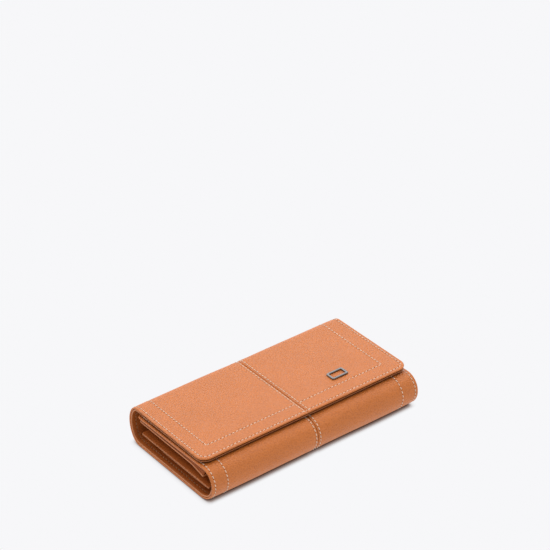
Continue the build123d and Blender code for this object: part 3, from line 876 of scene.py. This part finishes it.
# ---------------------------------------------------------------- coin pocket
WALL_START = 19.7
WALL_SLOPE = 13.0
WALL_RISE = 0.4
WALL_RUN = 12.0
WALL_BEND = 16.0
WALL_THICK = 1.2
wall_low, wall_high = span("coin_pocket_wall")
wall_lead = [(WALL_RUN, 0), (WALL_BEND, WALL_SLOPE - WALL_RISE)]
wall_lead_route = Route((wall_low[1], WALL_START), WALL_SLOPE, wall_lead)
wall_level = wall_lead_route.at(wall_lead_route.length)[0]
wall_route = Route((wall_low[1], WALL_START), WALL_SLOPE,
                   wall_lead + [(wall_high[1] - wall_level[0], 0)])
pocket_wall = sheet(
    "coin_pocket_wall_sheet", wall_route, (0, wall_route.length), (wall_low[0], wall_high[0]), 0.0,
    WALL_THICK, 0.5, INSIDE, corners=(0, 0, PANEL_ROUND, PANEL_ROUND), step=2.5, rim=EDGE_PAINT_AND_HIGHLIGHT,
    x_lines=(wall_low[0] + 3, wall_high[0] - 3))
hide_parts("coin_pocket_wall")
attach(pocket_wall, "front_panel")
pocket_rows = [[(3, way * (wall_high[0] - 3)), (wall_route.length - 6, way * (wall_high[0] - 3))]
               for way in (-1, 1)]
threads = sew("thread_coin_pocket", wall_route, pocket_rows, WALL_THICK, inner=True,
              material=INNER_THREAD)
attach(threads, "front_panel")

# The gussets fold inwards along their middle
GUSSET_FOLD = 2.6
GUSSET_THICK = 0.55
for side, way in (("left", -1), ("right", 1)):
    low, high = span(f"coin_pocket_gusset_{side}")
    along = np.linspace(low[1], high[1], 60)
    wall_s = np.interp(along, wall_route.at(np.linspace(0, wall_route.length, 400))[0][:, 0],
                       np.linspace(0, wall_route.length, 400))
    foot = wall_route.at(wall_s)[0][:, 1] - 0.3
    roof = high[2] - (along - low[1]) * math.tan(math.radians(PANEL_TILT)) + 0.5
    rise = np.linspace(0, 1, 13)
    crease = GUSSET_FOLD * (1 - np.abs(2 * rise - 1) ** 1.3)
    crease = crease[None, :] * np.clip((roof - foot) / 5, 0.15, 1)[:, None]
    z = foot[:, None] + (roof - foot)[:, None] * rise
    outer_x = max(abs(low[0]), abs(high[0])) + 0.5 - crease
    y = np.repeat(along[:, None], len(rise), 1)
    skins = [np.stack([way * (outer_x - deep), y, z], -1).reshape(-1, 3) * MM
             for deep in (0, GUSSET_THICK)]
    index = np.arange(y.size).reshape(y.shape)
    quads = np.stack([index[:-1, :-1], index[1:, :-1], index[1:, 1:], index[:-1, 1:]], -1)
    quads = quads.reshape(-1, 4)
    rim = np.concatenate([index[:, 0], index[-1, 1:], index[-2::-1, -1], index[0, -2:0:-1]])
    walls = [[int(a), int(a + y.size), int(b + y.size), int(b)] for a, b in zip(rim, np.roll(rim, -1))]
    faces = quads.tolist() + (quads[:, ::-1] + y.size).tolist() + walls
    faces = faces if way == 1 else [face[::-1] for face in faces]
    uv = np.concatenate([np.stack([y, z], -1).reshape(-1, 2)] * 2) * UV_PER_MM
    gusset = mesh_object(f"coin_pocket_gusset_{side}_fold", np.concatenate(skins), faces, uv, INSIDE)
    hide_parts(f"coin_pocket_gusset_{side}")
    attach(gusset, "front_panel")


# ---------------------------------------------------------------- flat sheets
def flat_sheet(node, name, body, edge, corners=(0, 0, 0, 0), tilt=0.0):
    """A rounded sheet in the place of a plain flat CAD slab that lies level or rises to the rear."""
    low, high = span(node)
    slope = math.tan(math.radians(tilt)) * (high[1] - low[1])
    thick = high[2] - low[2] - slope
    route = Route((low[1], high[2] - slope), tilt, [(high[1] - low[1], 0)])
    piece = sheet(name, route, (0, route.length), (low[0], high[0]), 0.0, thick, edge, INSIDE,
                  corners=corners, step=3.0, x_lines=(low[0] + 3, high[0] - 3), rim=EDGE_PAINT_AND_HIGHLIGHT)
    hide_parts(node)
    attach(piece, body)


for level, node in (("upper", "divider_leather_upper"), ("lower", "divider_leather_lower")):
    flat_sheet(node, f"divider_{level}_sheet", "divider", 0.21,
               corners=(0, 0, PAGE_ROUND, PAGE_ROUND))
flat_sheet("base_slip_pocket", "base_slip_pocket_sheet", "base", 0.26)
flat_sheet("coin_pocket_slip", "coin_pocket_slip_sheet", "front_panel",
           0.26, tilt=WALL_RISE)

# ---------------------------------------------------------------- CAD pieces that keep their shape
KEPT = {
    "emblem_metal": GUNMETAL,
    "snap_metal": SNAP_METAL,
    "zip_metal": NICKEL,
    "tape_fabric": TAPE,
    "bag_fabric": BAG,
    "seam_tape": REINFORCING,
    "stiffener": BOARD,
}
slots = {part["node"]: part["material_slot"] for part in frame["record"]["subparts"]}
for node, piece in frame["nodes"].items():
    if piece.hide_render:
        continue
    piece.data.materials.clear()
    piece.data.materials.append(KEPT.get(slots[node], INSIDE))

# ---------------------------------------------------------------- stage, light and camera
FLOOR_GLOW = (0.93, 0.93, 0.947)
SHADOW_REACH = 4.8


def floor_material():
    """A pale light table: it glows evenly, and a painted contact shadow darkens it where something touches it."""
    material, nodes, links, shader = node_material("studio_floor")
    nodes.remove(shader)
    # Painted shadow: ambient occlusion near the object turns the glow brown and then near black
    shade = nodes.new("ShaderNodeAmbientOcclusion")
    shade.samples = 24
    shade.inputs["Distance"].default_value = SHADOW_REACH * MM
    ramp = nodes.new("ShaderNodeValToRGB")
    stops = ((0.0, (0.030, 0.012, 0.006)), (0.22, (0.075, 0.035, 0.022)),
             (0.42, (0.32, 0.25, 0.23)), (0.62, (0.66, 0.63, 0.63)), (0.82, (0.86, 0.855, 0.87)),
             (1.0, FLOOR_GLOW))
    elements = ramp.color_ramp.elements
    elements[0].position, elements[1].position = 0.0, 1.0
    for place_at, _ in stops[1:-1]:
        elements.new(place_at)
    for element, (_, colour) in zip(elements, stops):
        element.color = (*colour, 1)
    glow = nodes.new("ShaderNodeEmission")
    links.new(shade.outputs["AO"], ramp.inputs["Fac"])
    links.new(ramp.outputs["Color"], glow.inputs["Color"])
    links.new(glow.outputs["Emission"], nodes["Material Output"].inputs["Surface"])
    return material


def aimed(thing, back):
    """Turn a camera or light so that it looks along minus back."""
    thing.rotation_mode = "QUATERNION"
    thing.rotation_quaternion = (-Vector(back)).to_track_quat("-Z", "Y")


floor_mesh = bpy.data.meshes.new("floor")
far = 6.0
floor_mesh.from_pydata([(-far, -far, 0), (far, -far, 0), (far, far, 0), (-far, far, 0)], [],
                       [(0, 1, 2, 3)])
floor = bpy.data.objects.new("floor", floor_mesh)
floor.location.z = -FLOOR_DROP * MM
floor_mesh.materials.append(floor_material())
bpy.context.scene.collection.objects.link(floor)


def direction(azimuth, elevation):
    """Unit vector towards a place at an azimuth round the object and a height."""
    a, e = math.radians(azimuth), math.radians(elevation)
    return (math.sin(a) * math.cos(e), -math.cos(a) * math.cos(e), math.sin(e))


def studio_world():
    """A studio that is pale near the floor, bright behind the object and dim behind the camera."""
    world = bpy.data.worlds.new("studio")
    world.use_nodes = True
    nodes, links = world.node_tree.nodes, world.node_tree.links
    coordinates = nodes.new("ShaderNodeTexCoord")
    ways = {}
    for name, towards in (("up", (0, 0, 1)), ("far", direction(VIEW_AZIMUTH + 180, 35))):
        dot = nodes.new("ShaderNodeVectorMath")
        dot.operation = "DOT_PRODUCT"
        dot.inputs[1].default_value = towards
        links.new(coordinates.outputs["Generated"], dot.inputs[0])
        ways[name] = dot.outputs["Value"]
    far = ranged(nodes, links, ways["far"], 0.15, 0.92, 0.0, 1.0)
    lights = mixed(nodes, links, far, DIM_SIDE, BRIGHT_SIDE)
    height = ranged(nodes, links, ways["up"], FLOOR_LIKE_UP_TO, SKY_FROM, 0.0, 1.0)
    colour = mixed(nodes, links, height, FLOOR_GLOW, lights)
    links.new(colour, nodes["Background"].inputs["Color"])
    nodes["Background"].inputs["Strength"].default_value = 1.0
    return world


VIEW_AZIMUTH, VIEW_ELEVATION, VIEW_DISTANCE = -37.12, 31.77, 1.48
VIEW_ROLL = -0.95
FLOOR_LIKE_UP_TO, SKY_FROM = 0.15, 0.27
DIM_SIDE = (0.36, 0.36, 0.37)
BRIGHT_SIDE = (2.15, 2.15, 2.19)
bpy.context.scene.world = studio_world()

for name, energy, spread, azimuth, elevation in (("key", 0.42, 38, -135, 58),
                                                 ("front_fill", 0.5, 30, -12, 24)):
    light = bpy.data.lights.new(name, "SUN")
    light.energy = energy
    light.angle = math.radians(spread)
    light.color = (1.0, 0.985, 0.96)
    light_object = bpy.data.objects.new(name, light)
    aimed(light_object, direction(azimuth, elevation))
    bpy.context.scene.collection.objects.link(light_object)

camera = bpy.data.cameras.new("camera")
camera.lens = 130.2
camera.sensor_width = 36.0
camera_object = bpy.data.objects.new("camera", camera)
AIM_RIGHT, AIM_UP = 0.00158, 0.11040
back = Vector(direction(VIEW_AZIMUTH, VIEW_ELEVATION))
right = Vector((0, 0, 1)).cross(back).normalized()
aim = right * AIM_RIGHT + back.cross(right) * AIM_UP
camera_object.location = aim + back * VIEW_DISTANCE
aimed(camera_object, back)
roll = Quaternion(back, math.radians(VIEW_ROLL))
camera_object.rotation_quaternion = roll @ camera_object.rotation_quaternion
camera.clip_start = 0.01
camera.clip_end = 50.0
bpy.context.scene.collection.objects.link(camera_object)
bpy.context.scene.camera = camera_object
bpy.context.scene.view_settings.view_transform = "Standard"
